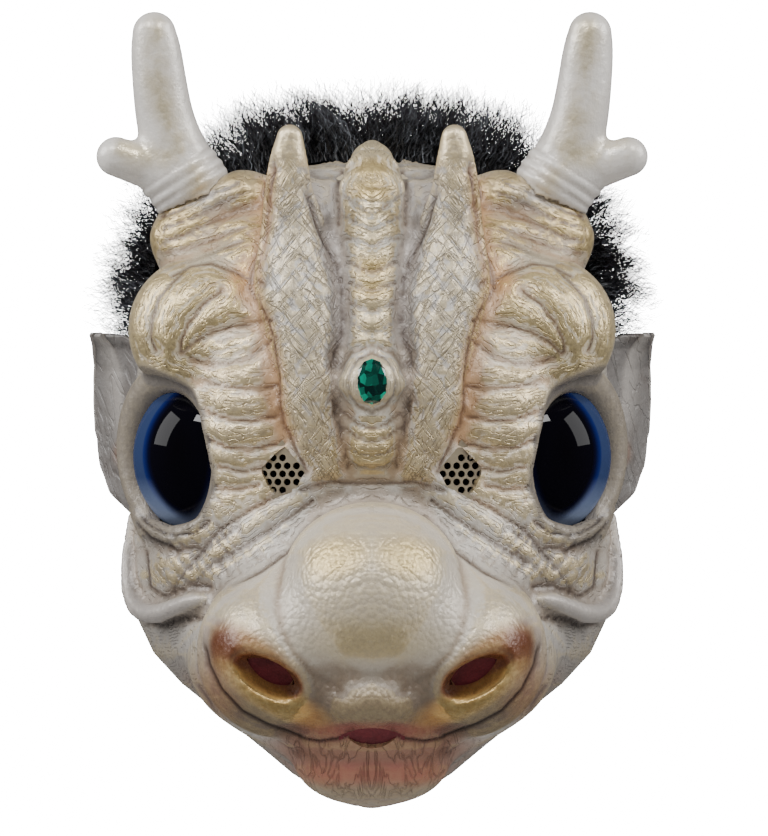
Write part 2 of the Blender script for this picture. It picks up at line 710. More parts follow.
def crease_lines():
    """Thin lines that run one way over latex: 1 on a line, 0 between them."""
    inputs = {"Where": "Vector", "Turn": "Vector", "Stretch": "Vector", "Width": "Float"}
    tree, n, given, ends = effect("crease lines", inputs, {"Lines": "Float"})
    turn = n.into(n.new("Mapping"), Vector=given["Where"], Rotation=given["Turn"])
    stretch = n.into(n.new("Mapping"), Vector=turn.outputs["Vector"], Scale=given["Stretch"])
    level = n.noise(stretch.outputs["Vector"], 1.0, 2.5, 0.55, 0.6)
    off = n.math("ABSOLUTE", n.math("SUBTRACT", level, 0.5))
    n.put(n.math("SUBTRACT", 1.0, n.spread(off, 0.0, given["Width"])), ends["Lines"])
    return tree


def mottling():
    """Uneven paint: its level, and the blotches where it is high."""
    inputs = {"Where": "Vector", "Scale": "Float", "Detail": "Float", "Roughness": "Float"}
    tree, n, given, ends = effect("mottling", inputs, {"Level": "Float", "Blotches": "Float"})
    level = n.noise(given["Where"], given["Scale"], given["Detail"], given["Roughness"])
    n.put(level, ends["Level"])
    n.put(n.spread(level, 0.35, 0.7), ends["Blotches"])
    return tree


CREASE_LINES = crease_lines()
MOTTLING = mottling()


def creases(n, where, angle, across, along, width):
    """Crease lines at an angle seen from the front, with how close they lie across and along."""
    stretch = (across, along * 1.6, along)
    turn = (0, math.radians(angle), 0)
    return n.shared(CREASE_LINES, Where=where, Turn=turn, Stretch=stretch, Width=width)["Lines"]


def latex_material():
    """Pearly paint, with gold where the skin stands proud, a wash in its hollows and several kinds of line."""
    made, n, shader = material("painted latex", Coat_Weight=0.18, Coat_Roughness=0.35)
    split = n.into(n.new("SeparateXYZ"), Vector=n.coordinates()).outputs
    both_halves = n.into(n.new("CombineXYZ"), X=n.math("ABSOLUTE", split[0]), Y=split[1], Z=split[2])
    where = both_halves.outputs[0]
    mottle = n.shared(MOTTLING, Where=where, Scale=70, Detail=5, Roughness=0.6)["Level"]
    fleck = n.noise(where, 330, 4, 0.65)
    crossed = n.most(creases(n, where, 38, 290, 46, 0.035), creases(n, where, -36, 270, 44, 0.032))
    phase = n.blend(n.attribute("across"), 0.62, n.times(n.noise(where, 110, 3), 3.6))
    off = n.math("ABSOLUTE", n.math("SUBTRACT", n.math("FRACT", phase), 0.5))
    flowing = n.math("SUBTRACT", 1.0, n.spread(off, 0.02, 0.2))
    flowing = n.times(flowing, n.spread(n.noise(where, 210, 2), 0.4, 0.6))
    upright = creases(n, where, 4, 170, 40, 0.04)
    lines = n.times(crossed, n.attribute("hatch"))
    lines = n.most(lines, n.times(n.times(flowing, n.attribute("flow")), 0.6))
    lines = n.most(lines, n.times(n.times(upright, n.attribute("lip")), 0.7))
    gold = n.spread(n.blend(n.attribute("crest"), 0.5, n.times(mottle, 0.8)), 0.40, 0.80)
    gold = n.times(gold, n.attribute("gild"))
    glint = n.times(gold, n.spread(fleck, 0.40, 0.60))
    wash = n.times(n.attribute("cavity"), n.spread(mottle, 0.25, 0.6, 0.5, 1.0))
    dark = n.most(n.times(lines, 0.45), n.times(n.attribute("groove"), 0.85))
    colour = n.mix(n.times(gold, 0.6), n.attribute("paint", "Color"), linear(214, 186, 122))
    colour = n.mix(n.times(glint, 0.35), colour, linear(244, 222, 160))
    colour = n.mix(n.times(wash, 0.72), colour, n.attribute("wash", "Color"))
    colour = n.mix(dark, colour, linear(104, 88, 80), "MULTIPLY")
    height = n.blend(lines, -0.8, n.times(fleck, 0.5))
    height = n.blend(n.noise(where, 150, 3, 0.6), 0.8, height)
    height = n.blend(n.times(n.cells(where, 430), n.attribute("pebble")), -0.6, height)
    relief = n.bump(height, 0.0009, 0.9)
    roughness = n.spread(fleck, 0.3, 0.7, 0.34, 0.46)
    n.into(shader, Base_Color=colour, Roughness=roughness, Normal=relief)
    n.into(shader, Metallic=n.spread(gold, 0, 1, 0.12, 0.7))
    return made


def plain(name, rgb, roughness, grain, relief, second=None, **constants):
    """A mottled colour with a fine grain that stands out by its relief in metres."""
    made, n, shader = material(name, Roughness=roughness, **constants)
    where = n.coordinates()
    share = n.shared(MOTTLING, Where=where, Scale=grain / 6, Detail=3, Roughness=0.55)["Blotches"]
    colour = n.mix(share, linear(*rgb), linear(*(second or rgb)))
    n.into(shader, Base_Color=colour, Normal=n.bump(n.noise(where, grain, 4), relief, 0.6))
    return made


EYE_COLOURS = (
    (0.0, (6, 5, 8)), (0.66, (8, 7, 14)), (0.76, (9, 11, 34)), (0.85, (14, 22, 68)),
    (0.93, (22, 34, 84)), (1.0, (44, 56, 88)),
)


def eye_material():
    """A black pupil in a blue ring that is paler below, under a clear coat."""
    coat = {"Coat_Weight": 0.16, "Coat_Roughness": 0.01}
    made, n, shader = material("painted eye", Roughness=0.5, Specular_IOR_Level=0.0, **coat)
    ring = n.attribute("ring")
    ramp = n.new("ValToRGB")
    while len(ramp.color_ramp.elements) < len(EYE_COLOURS):
        ramp.color_ramp.elements.new(0.5)
    for element, (place, rgb) in zip(ramp.color_ramp.elements, EYE_COLOURS):
        element.position = place
        element.color = (*linear(*rgb), 1)
    n.put(ring, ramp.inputs[0])
    pale = n.times(n.spread(ring, 0.7, 0.96), n.attribute("under"))
    n.into(shader, Base_Color=n.mix(pale, ramp.outputs[0], linear(112, 124, 150)))
    return made


# The latex face

def fold_relief(x, h, wider=1.0):
    """How deep the folds press in, how near the bottom of one a place is, and how far the next one is."""
    depth, near, across = np.zeros(x.shape), np.zeros(x.shape), np.full(x.shape, 60.0)
    for (width, most), *course in FOLDS:
        apart = to_course(x, h, course)
        span = width * wider
        soft = 0.5 * np.exp(-apart / span / 0.7) + 0.5 * np.exp(-((apart / span / 2.3) ** 2))
        depth = np.maximum(depth, most * soft)
        line = min(1.0, most / 2.2) * (0.15 if width > 4 else 1.0)
        near = np.maximum(near, line * np.exp(-((apart / 0.85) ** 2)))
        across = np.minimum(across, apart)
    return depth, near, across


def soft_noise(points, size, seed):
    """Smooth noise from -1 to 1 over a grid of that size in millimetres."""
    rng = np.random.default_rng(seed)
    lattice = rng.random((24, 24, 24)) * 2 - 1
    place = points / size + 100
    low = np.floor(place).astype(int)
    t = place - low
    t = t * t * (3 - 2 * t)
    total = np.zeros(len(points))
    for i in (0, 1):
        for j in (0, 1):
            for k in (0, 1):
                share = np.abs(1 - i - t[:, 0]) * np.abs(1 - j - t[:, 1]) * np.abs(1 - k - t[:, 2])
                total += share * lattice[(low[:, 0] + i) % 24, (low[:, 1] + j) % 24, (low[:, 2] + k) % 24]
    return total


def wrinkles(points, degrees, across, along, width, seed):
    """Soft grooves that run one way, seen from the front: 1 at the bottom of one."""
    x, h = turned(np.abs(points[:, 0]), points[:, 2], (0, 0), degrees)
    place = np.stack([x / across, points[:, 1] / (along * 0.7), h / along], axis=1)
    level = soft_noise(place, 1.0, seed) + 0.4 * soft_noise(place * 2.1, 1.0, seed + 1)
    return np.exp(-((level / width) ** 2))


def convexity(points, quads, normal, times):
    """How far each point stands proud of the skin round it, in millimetres."""
    edges = np.unique(edges_of(quads), axis=0)
    a, b = np.concatenate([edges, edges[:, ::-1]]).T
    count = np.bincount(a, minlength=len(points))
    smoothed = points.copy()
    for _ in range(times):
        smoothed = np.stack([np.bincount(a, smoothed[b, k], len(points)) for k in range(3)], axis=1)
        smoothed = smoothed / np.maximum(count, 1)[:, None]
    return ((points - smoothed) * normal).sum(axis=1)


def oval_share(x, h, centre, halves, turn=0.0, soft=0.35):
    """1 inside an oval, falling to 0 outside it."""
    across, up = turned(x, h, centre, turn)
    ratio = np.hypot(across / halves[0], up / halves[1])
    return 1 - smooth(ratio, 1 - soft, 1 + soft)


def smooth(value, low, high):
    """0 below one value, 1 above another and an easy slope between them."""
    t = np.clip((value - low) / (high - low), 0, 1)
    return t * t * (3 - 2 * t)


def inside_outline(x, h, corners):
    """How far a place lies inside a convex outline."""
    centre = np.mean(corners, axis=0)
    room = np.full(x.shape, 1e3)
    for a, b in zip(corners, corners[1:] + corners[:1]):
        across = (b[0] - a[0]) * (h - a[1]) - (b[1] - a[1]) * (x - a[0])
        at_centre = (b[0] - a[0]) * (centre[1] - a[1]) - (b[1] - a[1]) * (centre[0] - a[0])
        room = np.minimum(room, across * math.copysign(1, at_centre) / math.dist(a, b))
    return room


def opening_room(points):
    """How far a place lies inside the openings of eyes, nostrils, mouth and vents, above 0 inside."""
    x, y, h = np.abs(points[:, 0]), points[:, 1], points[:, 2]
    away, out = in_eye_axes(x, y, h)[:2]
    room = np.where(np.abs(out) < EYE_RIM_REACH, EYE_OPENING_HALF - away, FAR_OUTSIDE)
    for patch in (NOSTRIL_PATCH, MOUTH_PATCH):
        across, rise = turned(x, h, (patch["x"], patch["h"]), patch["turn"])
        across = across / patch["rx"]
        steepness = np.sqrt(1 + (2 * across * patch["rh"] / patch["rx"]) ** 2)
        lens = (patch["rh"] * (1 - across**2) - np.abs(rise)) / steepness
        room = np.maximum(room, np.where(y < MUZZLE_FRONT, lens, FAR_OUTSIDE))
    vent = inside_outline(x, h, VENT_CORNERS)
    return np.maximum(room, np.where(y < VENT_FRONT, vent, FAR_OUTSIDE))


# Courses of paint over the face, as points of x and h
VALLEY_COURSE = ((18, 262), (19, 246), (14.5, 232), (12.6, 216), (13, 196))
OCHRE_COURSE = (
    (44.6, 264), (46.6, 248), (50, 232), (53, 222), (50.6, 212), (45.6, 200), (42, 186), (41, 168), (38, 156),
)

# Oval patches of paint, in the order in which they are laid. Each has its centre, half sizes, turn and
# softness, then how much of it is laid, its paint, the wash in its hollows and its gold.
BROW_PATCHES = (
    ((72, 246), (32, 26), 0, 0.35, 1.0, (164, 146, 120), (142, 110, 82), 0.8),  # mound under the antler
    ((68, 200), (36, 34), 18, 0.15, 1.0, (194, 182, 158), (178, 146, 112), 0.9),  # brow bulge
    ((56, 160), (22, 38), 0, 0.25, 1.0, (228, 215, 193), (200, 164, 126), 0.8),  # ribs
)
FOREHEAD_PATCHES = (
    ((55, 222), (6, 8), 20, 0.6, 0.8, (206, 156, 98), None, None),  # ochre beside the horn
    *(((0, h), (8, 4), 0, 0.6, 0.7, (214, 182, 118), None, 1.0) for h in (268, 259, 226, 217)),  # gilt rings
    ((0, 148), (16, 12), 0, 0.4, 0.7, (198, 180, 146), (176, 142, 102), 0.9),  # foot of the centre ridge
    ((72, 258), (13, 7), 0, 0.5, 0.8, (198, 192, 184), (160, 148, 136), 0.5),  # skin at the antler's foot
    ((24, 261), (7, 6), 0, 0.6, 0.7, (160, 152, 144), None, 0.2),  # forehead beside the horn
)
NOSE_PATCHES = (
    ((15, 105), (12, 7), -15, 0.7, 0.8, (206, 182, 122), None, 0.9),  # gold on the dome
    ((8, 70), (20, 8), 0, 0.7, 0.5, (186, 166, 118), None, 0.7),  # gold below the dome
    ((52, 84), (12, 8), -35, 0.6, 0.7, (206, 200, 190), None, 0.6),  # wing
)
NOSTRIL_PATCHES = (
    ((50, 64), (21, 9), 34, 0.4, 0.9, (130, 78, 42), (100, 56, 30), 0.3),  # orange over the nostril
    ((63, 66), (9, 11), 10, 0.5, 1.0, (98, 54, 28), (80, 44, 24), 0.0),  # its outer corner
    ((40, 46), (24, 6), 29, 0.5, 0.85, (204, 156, 84), (150, 96, 50), 1.0),  # gold under the nostril
    ((0, 31.5), (30, 4.5), 0, 0.5, 0.75, (146, 76, 66), (110, 50, 44), 0.0),  # red between the lips
)
LIP_PATCHES = (((0, 20), (50, 12), 0, 0.4, 0.85, (156, 112, 92), (120, 76, 62), 0.2),)  # lower lip
CHEEK_PATCHES = (
    ((0, 14), (34, 5), 0, 0.6, 0.7, (172, 96, 86), (128, 70, 60), 0.1),  # pink of the lower lip
    ((0, 3), (26, 7), 0, 0.5, 0.7, (168, 150, 138), None, 0.3),  # chin
    ((74, 44), (16, 20), 40, 0.5, 0.75, (136, 100, 78), (108, 74, 58), 0.15),  # corner of the mouth
    ((92, 64), (18, 20), 0, 0.5, 0.8, (148, 142, 136), (112, 104, 98), 0.15),  # side of the jaw
    ((80, 104), (26, 18), 0, 0.4, 0.8, (156, 146, 134), (122, 104, 88), 0.6),  # fan under the eye
)


def paint_of(points, normal):
    """Colours of the paint and of the wash in its hollows, and how much gold lies on it, at each point."""
    x, y, h = np.abs(points[:, 0]), points[:, 1], points[:, 2]
    colour = np.tile(np.array(linear(186, 180, 170)), (len(points), 1))
    wash = np.tile(np.array(linear(140, 122, 104)), (len(points), 1))
    gild = np.full(len(points), 0.45)

    def lay(share, rgb, washed=None, gilt=None):
        nonlocal colour, wash, gild
        share = np.clip(share, 0, 1)
        colour = colour * (1 - share[:, None]) + np.array(linear(*rgb)) * share[:, None]
        if washed:
            wash = wash * (1 - share[:, None]) + np.array(linear(*washed)) * share[:, None]
        if gilt is not None:
            gild = gild * (1 - share) + gilt * share

    def lay_patches(patches, within=1.0):
        for centre, halves, turn, soft, share, *paints in patches:
            lay(within * oval_share(x, h, centre, halves, turn, soft) * share, *paints)

    lay_patches(BROW_PATCHES)
    horn = smooth(-chain(x, y, h, HORN), -3.5, 0.5)
    lay(horn, (194, 189, 181), (156, 138, 120), 0.55)
    lay(horn * smooth(h, 246, 268), (204, 196, 182), (150, 132, 114), 0.75)
    lay(horn * (1 - smooth(h, 140, 205)) * 0.75, (208, 193, 172), (184, 148, 114), 0.7)
    centre_ridge = smooth(-chain(x, y, h, CENTRE_RIDGE), -3.5, 0.5) * smooth(h, 150, 165)
    lay(centre_ridge, (202, 196, 182), (176, 146, 112), 0.8)
    lay(np.exp(-((to_course(x, h, VALLEY_COURSE) / 4.5) ** 2)) * 0.75, (184, 178, 174), (166, 156, 148), 0.2)
    lay(np.exp(-((to_course(x, h, OCHRE_COURSE) / 5.0) ** 2)) * 0.8, (192, 148, 98), (168, 124, 84), 0.6)
    lay_patches(FOREHEAD_PATCHES)
    muzzle = smooth(-y, 104, 118) * (1 - smooth(h, 127, 134))
    lay(muzzle, (184, 178, 168), (150, 128, 106), 0.3)
    lay(muzzle, (198, 188, 172), None, 0.35)
    lay(muzzle * (1 - smooth(h, 42, 68)) * 0.95, (112, 96, 80), (98, 80, 62), 0.2)
    lay_patches(NOSE_PATCHES, muzzle)
    lay_patches(NOSTRIL_PATCHES)
    lay_patches(LIP_PATCHES, 1 - smooth(h, 27, 31))
    lay_patches(CHEEK_PATCHES)
    aside = 1 - smooth(-normal[:, 1], 0.02, 0.3)
    lay(aside * smooth(y, -95, -60), (158, 150, 140), (128, 116, 104), 0.3)
    lay(smooth(-chain(x, y, h, CHEEK_ROLL), -1.8, 0.2), (164, 158, 154), (138, 128, 120), 0.05)
    away, out = in_eye_axes(x, y, h)[:2]
    lay((1 - smooth(away, 37.5, 41)) * smooth(out, -6, -2), (124, 117, 110), (98, 88, 80), 0.1)
    hollow = smooth(-ellipsoid(x, y, h, NOSTRIL, NOSTRIL["turn"]), -2.0, 0.8)
    lay(hollow, (120, 62, 30), (70, 34, 20), 0.15)
    lay(hollow * (1 - smooth(h - 0.55 * (x - 43), 50.5, 54)), (206, 166, 96), (110, 66, 36), 0.9)
    return colour, wash, gild


SNAP_REACH = 2.2
SNAP_STEP = 0.8


def snapped(points, quads):
    """The points on the edge of a nostril, the mouth or a vent moved onto its outline."""
    unique, count = np.unique(edges_of(quads), axis=0, return_counts=True)
    rim = np.unique(unique[count == 1])
    rim = rim[opening_room(points[rim]) > -SNAP_REACH]
    rim = rim[in_eye_axes(np.abs(points[rim, 0]), points[rim, 1], points[rim, 2])[0] > SOCKET_HALF]
    rim = rim[normals_of(sculpt, points[rim])[:, 1] < -0.3]
    for _ in range(4):
        here = np.clip(opening_room(points[rim]), -SNAP_STEP, SNAP_STEP)
        slope = []
        for step in ((0.2, 0, 0), (0, 0, 0.2)):
            slope.append((opening_room(points[rim] + step) - opening_room(points[rim] - step)) / 0.4)
        total = np.maximum(slope[0] ** 2 + slope[1] ** 2, 0.2)
        points[rim, 0] -= here * slope[0] / total
        points[rim, 2] -= here * slope[1] / total
        points[rim, 1] += np.clip(sculpt(*points[rim].T), -1, 1)
    return points


def cut_to_edges(points, quads, at_back=False):
    """The head form's surface above its neck edge, before its back edge or behind it."""
    for edge, outside, other_side in (
        (BACK_EDGE, (0, 90, 200.0), at_back),
        (NECK_EDGE, (0, 0, -50.0), False),
    ):
        sign = 1 if (behind(np.array([outside]), edge)[0][0] > 0) != other_side else -1
        points, quads = trimmed(points, quads, edge, sign)
    return points, quads


def front_part(form, step):
    """The surface of a form as far back as the face goes, cut along the back and the neck."""
    points, quads = skinned(form, FACE_ROOM, step)
    points = settle_on(form, points)
    points, quads = kept(points, quads, (points[quads][:, :, 1] < FACE_BACK).all(axis=1))
    return cut_to_edges(points, quads)


def outer_skin():
    """The fine outer skin with its openings cut, before its folds are pressed in."""
    points, quads = finer(*front_part(sculpt, FACE_STEP))
    on_edge = [np.abs(behind(points, edge)[0]) < 0.02 for edge in (BACK_EDGE, NECK_EDGE)]
    points = np.where((on_edge[0] | on_edge[1])[:, None], points, settle_on(sculpt, points, 2))
    points, quads = kept(points, quads, ~(opening_room(points)[quads] > 0).all(axis=1))
    return snapped(points, quads), quads


def folded_inwards(points):
    """How deep the folds of the front reach, widened to leave room for the lining."""
    depth = fold_relief(np.abs(points[0]), points[2], 2.0)[0]
    return np.clip(depth, 0, DEEPEST_FOLD) * smooth(-points[1], -10, 10)


def lining_form(x, y, h):
    """Distance to the inside of the latex, clear of the folds."""
    return sculpt(x, y, h) + WALL + LINING_GAP + folded_inwards((x, y, h))


def face():
    """The latex face: its fine outer skin with the openings, and its lining."""
    points, quads = outer_skin()
    normal = normals_of(sculpt, points)
    x, y, h = np.abs(points[:, 0]), points[:, 1], points[:, 2]
    depth, groove, across = fold_relief(x, h)
    away, out, side, rise = in_eye_axes(x, y, h)

    # Where each kind of skin lies
    front = smooth(-y, -10, 10) * smooth(-normal[:, 1], 0.02, 0.28)
    plain_lid = (1 - smooth(away, 38, 41)) * smooth(out, -6, -2) * smooth(rise - 0.9 * side, -14, -2)
    roll = smooth(-chain(x, y, h, CHEEK_ROLL), -1.6, -0.2)
    horn_tip = smooth(h, 262, 276) * smooth(-y, 70, 76)
    nose = smooth(-y, 112, 122) * (1 - smooth(h, 122, 130))
    bare = np.clip(1 - plain_lid - roll - horn_tip, 0, 1)
    creased = bare * (1 - nose)
    slab = smooth(-chain(x, y, h, HORN), -2.5, 0.5) * (1 - horn_tip)
    lip = oval_share(x, h, (0, 19), (52, 15), 0, 0.3) * (1 - smooth(h, 26, 30))
    facing = smooth(-normal[:, 1], 0.12, 0.6)
    calm = facing * (0.35 + 0.65 * smooth(h, 118, 135))

    # How far the skin is pressed in, in millimetres
    soft = wrinkles(points, 40, 7, 26, 0.12, 3) + wrinkles(points, -38, 7, 24, 0.12, 5)
    fan = wrinkles(points, -42, 4.5, 34, 0.18, 9) * oval_share(x, h, (70, 108), (36, 24), 0, 0.4)
    beside = np.abs((across / 3.4 + 0.7 * soft_noise(points, 8, 31)) % 1 - 0.5)
    along = np.exp(-((beside / 0.16) ** 2)) * (1 - slab) * smooth(across, 0.8, 2.4) * calm
    uneven = (0.45 * soft_noise(points, 9, 21) + 0.2 * soft_noise(points, 4.2, 22)) * calm
    level = np.maximum(depth, 0) * np.clip(bare + 0.3, 0, 1) + 0.42 * soft * slab
    level = level + ((0.4 * along + 0.6 * fan) * facing - uneven) * creased
    shaped = points - normal * (np.minimum(level, DEEPEST_FOLD) * front)[:, None]

    outer = add("latex_face", shaped, quads, [latex_material()], ("face_skin",))
    colour, wash, gild = paint_of(points, normal)
    fine = convexity(shaped, quads, normal, 3)
    broad = convexity(shaped, quads, normal, 22)
    pebble = nose * (1 - smooth(h, 112, 126) * 0.6) * (1 - lip) * (1 - 0.5 * smooth(x, 36, 44))
    for name, values in {
        "paint": colour,
        "wash": wash,
        "gild": gild,
        "groove": groove * front * np.clip(bare + 0.2, 0, 1),
        "crest": smooth(fine * 2.2 + broad * 0.5, 0.02, 0.5),
        "cavity": smooth(-fine * 2.2 - broad * 0.45, 0.05, 0.8) * np.clip(bare + 0.3, 0, 1),
        "hatch": slab * bare,
        "flow": creased * (1 - 0.8 * slab) * (1 - lip),
        "lip": lip,
        "across": across,
        "pebble": pebble,
    }.items():
        attribute(outer, name, values)
    thickened(outer, WALL)

    points, quads = front_part(lining_form, LINING_STEP)
    points, quads = kept(points, quads, ~(opening_room(points)[quads] > -2.5).any(axis=1))
    lining = plain("bare latex", (196, 184, 160), 0.55, 300, 0.0003, (182, 168, 142))
    add("latex_lining", points, quads[:, ::-1], [lining])


def front_of(x, h):
    """y of the skin at places seen from the front."""
    x, h = np.asarray(x, float), np.asarray(h, float)
    depths = np.arange(-184, -20, 0.5)
    grid = sculpt(x[..., None] + 0 * depths, depths + 0 * x[..., None], h[..., None] + 0 * depths)
    return depths[np.argmax(grid < 0, axis=-1)]


def eyes():
    """Glossy domes with a painted pupil and rings, tucked behind the lids."""
    gloss = eye_material()
    rings, around = 40, 96
    widest = math.acos((EYE_DEPTH - EYE_TUCK) / EYE_RADIUS)
    tilt, turn = np.meshgrid(
        np.arange(rings + 1) * widest / rings, np.arange(around) * 2 * math.pi / around, indexing="ij"
    )
    tilt, turn = tilt.reshape(-1, 1), turn.reshape(-1, 1)
    sideways = np.array((EYE_FACING[1], -EYE_FACING[0], 0))
    aside = sideways * np.cos(turn) + np.array((0, 0, 1)) * np.sin(turn)
    direction = EYE_FACING * np.cos(tilt) + aside * np.sin(tilt)
    azimuth = np.degrees(np.arctan2(direction[:, 0], -direction[:, 1]))
    rise = np.degrees(np.arcsin(direction[:, 2]))
    a = np.arange(rings * around).reshape(rings, around)
    b = np.roll(a, -1, axis=1)
    faces = np.stack([a, b, b + around, a + around], axis=2).reshape(-1, 4)
    for sign, word in ((-1, "right"), (1, "left")):
        points = (EYE_CENTRE + direction * EYE_RADIUS) * (sign, 1, 1)
        piece = add("eye_dome_" + word, points, faces[:, ::sign], [gloss], ("eye_" + word,))
        attribute(piece, "ring", np.hypot((azimuth - 29) / 34, (rise - 4) / 62))
        attribute(piece, "under", np.clip((-14 - rise) / 30, 0, 1))


def brow_gem():
    """The stone keeps its frame, with a green glassy material."""
    made, n, shader = material("green stone", Roughness=0.08, Coat_Weight=1.0, Coat_Roughness=0.02)
    facets = n.into(n.new("SeparateColor"), Color=n.cells(n.coordinates(), 330, "Color"))
    share = n.math("POWER", facets.outputs[0], 3.0)
    n.into(shader, Base_Color=n.mix(share, linear(2, 28, 26), linear(14, 160, 128)))
    repainted("brow_gem", made)


VENT_HOLE = 1.5
VENT_PITCH = 3.9
VENT_OVERLAP = 1.18
VENT_BEHIND = 2.6
VENT_WALL = 0.8


def vents():
    """Thin plates behind the see-through windows, with rows of round holes."""
    made = plain("vent plate", (150, 138, 116), 0.45, 500, 0.0002, (126, 114, 96), Metallic=0.2)
    middle = np.mean(VENT_CORNERS, axis=0)
    outline = middle + (np.array(VENT_CORNERS) - middle) * VENT_OVERLAP
    deep = front_of(*outline.T)
    slope = np.linalg.lstsq(np.c_[outline - middle, np.ones(len(outline))], deep, rcond=None)[0]
    loops = [outline]
    turns = np.arange(14) * 2 * math.pi / 14
    for row in range(-4, 5):
        for column in range(-4, 5):
            place = middle + (VENT_PITCH * (column + 0.5 * (row % 2)), VENT_PITCH * math.sqrt(0.75) * row)
            if inside_outline(place[:1], place[1:], VENT_CORNERS)[0] > 0.2:
                loops.append(place + VENT_HOLE * np.stack([np.cos(turns), np.sin(turns)], axis=1))
    for sign, word in ((-1, "right"), (1, "left")):
        plate = bmesh.new()
        edges = []
        for loop in loops:
            y = (loop - middle) @ slope[:2] + slope[2] + VENT_BEHIND
            ring = [plate.verts.new(to_world((x * sign, at, h))) for (x, h), at in zip(loop, y)]
            edges += [plate.edges.new(pair) for pair in zip(ring, ring[1:] + ring[:1])]
        bmesh.ops.triangle_fill(plate, edges=edges, use_beauty=True, normal=(0, -1, 0))
        mesh = bpy.data.meshes.new("vent_plate_" + word)
        plate.to_mesh(mesh)
        plate.free()
        walled(placed("vent_plate_" + word, mesh, [made], ("vent_" + word,)), VENT_WALL)


CLOTH_BORDER = 2.2
CLOTH_BEHIND = 1.3
CLOTH_ROOM = 1.6


def cloths():
    """Dark red patches glued behind the nostrils and the mouth."""
    made = plain("dark red cloth", (104, 40, 44), 0.9, 900, 0.0003, (88, 34, 38))
    rings, around = 8, 40
    turn = np.tile(np.arange(around) * 2 * math.pi / around, rings)
    out = np.repeat(np.arange(1, rings + 1) / rings, around)
    spots = np.stack([np.cos(turn) * out, np.sin(turn) * out], axis=1)
    spots = np.concatenate([np.zeros((1, 2)), spots])
    faces = [(0, 1 + (k + 1) % around, 1 + k) for k in range(around)]
    for r in range(rings - 1):
        for k in range(around):
            a, b = 1 + r * around + k, 1 + r * around + (k + 1) % around
            faces.append((a, b, b + around, a + around))
    room = ((0, 0), (CLOTH_ROOM, 0), (-CLOTH_ROOM, 0), (0, CLOTH_ROOM), (0, -CLOTH_ROOM))
    for name, node, patch, sign in (
        ("nostril_patch_right", "nostril_cloth_right", NOSTRIL_PATCH, -1),
        ("nostril_patch_left", "nostril_cloth_left", NOSTRIL_PATCH, 1),
        ("mouth_patch", "mouth_cloth", MOUTH_PATCH, 1),
    ):
        halves = np.array((patch["rx"], patch["rh"])) + CLOTH_BORDER
        x, h = turned(*(spots * halves).T, (0, 0), -patch["turn"])
        x, h = x + patch["x"], h + patch["h"]
        y = np.max([front_of(np.abs(x + dx), h + dh) for dx, dh in room], axis=0) + CLOTH_BEHIND
        points = np.stack([x * sign, y, h], axis=1)
        piece = add(name, points, faces, [made], (node,))


def hood():
    """The hood shows as it is in the frame, in black cloth."""
    repainted("hood", plain("hood cloth", (24, 24, 25), 0.95, 900, 0.0003))


def antler_material():
    """Smooth pale latex with gold down the middle and shade in the rings of the collar."""
    made, n, shader = material("antler latex", Coat_Weight=0.15, Coat_Roughness=0.3)
    where = n.coordinates()
    mottle = n.shared(MOTTLING, Where=where, Scale=60, Detail=4, Roughness=0.6)
    fine = n.noise(where, 300, 4, 0.6)
    gold = n.times(n.attribute("gild"), n.spread(mottle["Level"], 0.3, 0.65))
    colour = n.mix(mottle["Blotches"], linear(216, 211, 204), linear(203, 198, 192))
    colour = n.mix(n.times(gold, 0.7), colour, linear(234, 216, 170))
    colour = n.mix(n.times(n.attribute("groove"), 0.35), colour, linear(150, 138, 128), "MULTIPLY")
    relief = n.bump(n.blend(mottle["Level"], 2.0, fine), 0.0006, 0.7)
    roughness = n.spread(fine, 0.3, 0.7, 0.30, 0.42)
    n.into(shader, Base_Color=colour, Metallic=n.blend(gold, 0.5, 0.1), Roughness=roughness, Normal=relief)
    return made


def antler_on_skin(x, y, h):
    """Distance to the antler down to where it sits in the skin."""
    return np.maximum(antler_form(x, y, h), -ANTLER_SEAT - sculpt(x, y, h))


def antlers():
    """Forked antlers with the ring folds of their collars."""
    cast = antler_material()
    points, quads = finer(*skinned(antler_on_skin, ANTLER_ROOM, ANTLER_STEP))
    points = settle_on(antler_on_skin, points, 2, 0.8)
    x, h = points[:, 0], points[:, 2]
    apart = np.minimum(*(to_course(x, h, course) for course in GILT_COURSES))
    along = up_antler(x, h)
    groove = np.zeros(len(points))
    for fold in COLLAR_FOLDS:
        for side in (-2.4, 2.4):
            groove = np.maximum(groove, np.exp(-(((along - fold - side) / 0.7) ** 2)))
    uneven = 0.35 * soft_noise(points, 7, 41) * (1 - smooth(along, 14, 26))
    points = points + normals_of(antler_on_skin, points) * uneven[:, None]
    for sign, word in ((-1, "right"), (1, "left")):
        name, stood_for = "antler_cast_" + word, ("antler_" + word,)
        piece = add(name, points * (sign, 1, 1), quads[:, ::sign], [cast], stood_for)
        attribute(piece, "gild", np.exp(-((apart / 5.5) ** 2)))
        attribute(piece, "groove", groove)


EAR_WALL = 2.0
EAR_OUTWARDS = np.array((0.45, 0.89, 0))


def ear_material():
    """Grey latex, paler on its rims and brownish in its lobe."""
    made, n, shader = material("ear latex", Roughness=0.42)
    where = n.coordinates()
    mottle = n.shared(MOTTLING, Where=where, Scale=90, Detail=5, Roughness=0.6)
    colour = n.mix(mottle["Blotches"], linear(112, 108, 105), linear(98, 92, 88))
    colour = n.mix(n.attribute("rim"), colour, linear(150, 144, 138))
    colour = n.mix(n.times(n.attribute("lobe"), 0.8), colour, linear(128, 98, 80))
    height = n.blend(creases(n, where, 20, 190, 40, 0.05), -0.6, n.noise(where, 260, 4, 0.6))
    n.into(shader, Base_Color=colour, Normal=n.bump(height, 0.0008, 0.8))
    return made


